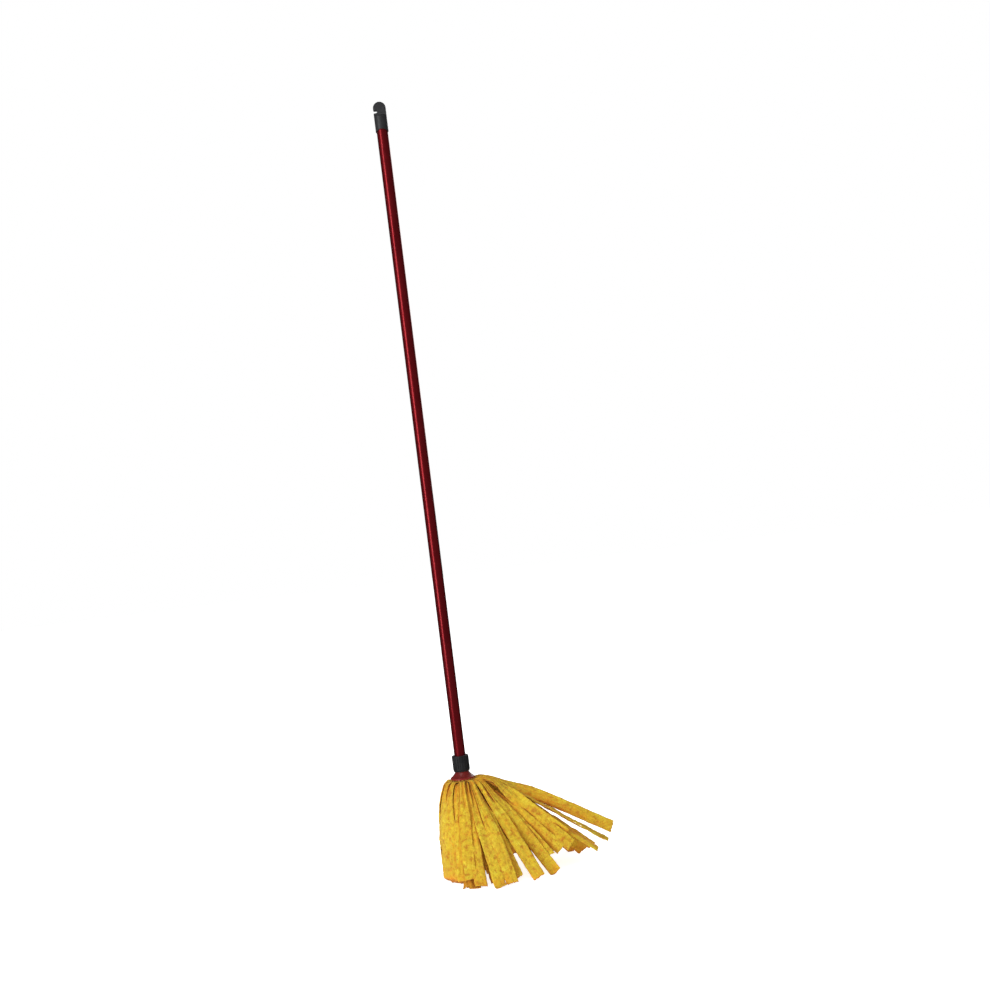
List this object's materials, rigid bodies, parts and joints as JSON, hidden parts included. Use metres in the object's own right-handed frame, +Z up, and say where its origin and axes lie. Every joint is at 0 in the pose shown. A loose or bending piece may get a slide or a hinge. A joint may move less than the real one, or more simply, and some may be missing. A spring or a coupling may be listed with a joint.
{
  "type": "string mop",
  "caption": "String mop: coated tube handle with a hook cap, clamped by a ribbed nut in a bell socket, over a refill head of fanned cloth strips.",
  "frame": {"origin": "on the floor, under the handle's axis, with the head standing on its strips", "axes": "+Z up along the handle, +X the side the strips fan out to, -Y the front"},
  "size_m": [0.3466, 0.3294, 1.488],
  "materials": {
    "tube_coating": "gloss",
    "cap_plastic": "satin",
    "nut_plastic": "satin",
    "socket_plastic": "gloss",
    "core_plastic": "matte",
    "strip_cloth": "matte",
    "thread": "matte"
  },
  "bodies": {
    "mop_head": {"core_ring": "core_plastic", "core_washer": "core_plastic", "strip_crown": "strip_cloth", "crown_seam": "thread", "inner_strips": "strip_cloth"},
    "socket": {"socket": "socket_plastic"},
    "handle": {"handle_tube": "tube_coating", "hanger_cap": "cap_plastic", "tube_plug": "cap_plastic"},
    "clamp_ring": {"clamp_ring": "core_plastic"},
    "clamp_nut": {"clamp_nut": "nut_plastic"},
    "strips_000": {"strip_bundle_000": "strip_cloth"},
    "strips_030": {"strip_bundle_030": "strip_cloth"},
    "strips_060": {"strip_bundle_060": "strip_cloth"},
    "strips_090": {"strip_bundle_090": "strip_cloth"},
    "strips_120": {"strip_bundle_120": "strip_cloth"},
    "strips_150": {"strip_bundle_150": "strip_cloth"},
    "strips_180": {"strip_bundle_180": "strip_cloth"},
    "strips_210": {"strip_bundle_210": "strip_cloth"},
    "strips_240": {"strip_bundle_240": "strip_cloth"},
    "strips_270": {"strip_bundle_270": "strip_cloth"},
    "strips_300": {"strip_bundle_300": "strip_cloth"},
    "strips_330": {"strip_bundle_330": "strip_cloth"}
  },
  "joints": [
    {"name": "socket_lift", "type": "slide", "parent": "mop_head", "child": "socket", "axis": [0, 0, 1], "range_m": [0, 0.035]},
    {"name": "handle_pull", "type": "slide", "parent": "socket", "child": "handle", "axis": [0, 0, 1], "range_m": [0, 0.06]},
    {"name": "ring_travel", "type": "slide", "parent": "socket", "child": "clamp_ring", "axis": [0, 0, 1], "range_m": [0, 0.012]},
    {"name": "nut_turn", "type": "hinge", "parent": "clamp_ring", "child": "clamp_nut", "pos_m": [0, 0, 0.215], "axis": [0, 0, 1], "range_deg": [0, 1081]},
    {"name": "strips_000_swing", "type": "hinge", "parent": "mop_head", "child": "strips_000", "pos_m": [0.031, 0, 0.178], "axis": [0, -1, 0], "range_deg": [-4, 37], "stiffness_Nm_per_rad": 6, "springref_deg": 0.57},
    {"name": "strips_030_swing", "type": "hinge", "parent": "mop_head", "child": "strips_030", "pos_m": [0.02685, 0.0155, 0.178], "axis": [0.5, -0.866, 0], "range_deg": [0, 52], "stiffness_Nm_per_rad": 6, "springref_deg": 0.57},
    {"name": "strips_060_swing", "type": "hinge", "parent": "mop_head", "child": "strips_060", "pos_m": [0.0155, 0.02685, 0.178], "axis": [0.866, -0.5, 0], "range_deg": [0, 61], "stiffness_Nm_per_rad": 6, "springref_deg": 0.57},
    {"name": "strips_090_swing", "type": "hinge", "parent": "mop_head", "child": "strips_090", "pos_m": [0, 0.031, 0.178], "axis": [1, 0, 0], "range_deg": [0, 70], "stiffness_Nm_per_rad": 6, "springref_deg": 0.57},
    {"name": "strips_120_swing", "type": "hinge", "parent": "mop_head", "child": "strips_120", "pos_m": [-0.0155, 0.02685, 0.178], "axis": [0.866, 0.5, 0], "range_deg": [0, 80], "stiffness_Nm_per_rad": 6, "springref_deg": 0.57},
    {"name": "strips_150_swing", "type": "hinge", "parent": "mop_head", "child": "strips_150", "pos_m": [-0.02685, 0.0155, 0.178], "axis": [0.5, 0.866, 0], "range_deg": [0, 88], "stiffness_Nm_per_rad": 6, "springref_deg": 0.57},
    {"name": "strips_180_swing", "type": "hinge", "parent": "mop_head", "child": "strips_180", "pos_m": [-0.031, 0, 0.178], "axis": [0, 1, 0], "range_deg": [0, 91], "stiffness_Nm_per_rad": 6, "springref_deg": 0.57},
    {"name": "strips_210_swing", "type": "hinge", "parent": "mop_head", "child": "strips_210", "pos_m": [-0.02685, -0.0155, 0.178], "axis": [-0.5, 0.866, 0], "range_deg": [0, 89], "stiffness_Nm_per_rad": 6, "springref_deg": 0.57},
    {"name": "strips_240_swing", "type": "hinge", "parent": "mop_head", "child": "strips_240", "pos_m": [-0.0155, -0.02685, 0.178], "axis": [-0.866, 0.5, 0], "range_deg": [0, 84], "stiffness_Nm_per_rad": 6, "springref_deg": 0.57},
    {"name": "strips_270_swing", "type": "hinge", "parent": "mop_head", "child": "strips_270", "pos_m": [0, -0.031, 0.178], "axis": [-1, 0, 0], "range_deg": [0, 73], "stiffness_Nm_per_rad": 6, "springref_deg": 0.57},
    {"name": "strips_300_swing", "type": "hinge", "parent": "mop_head", "child": "strips_300", "pos_m": [0.0155, -0.02685, 0.178], "axis": [-0.866, -0.5, 0], "range_deg": [0, 67], "stiffness_Nm_per_rad": 6, "springref_deg": 0.57},
    {"name": "strips_330_swing", "type": "hinge", "parent": "mop_head", "child": "strips_330", "pos_m": [0.02685, -0.0155, 0.178], "axis": [-0.5, -0.866, 0], "range_deg": [0, 59], "stiffness_Nm_per_rad": 6, "springref_deg": 0.57}
  ],
  "couplings": [
    {"joint": "nut_turn", "follows": "ring_travel", "rad_per_m": 1570.8}
  ]
}
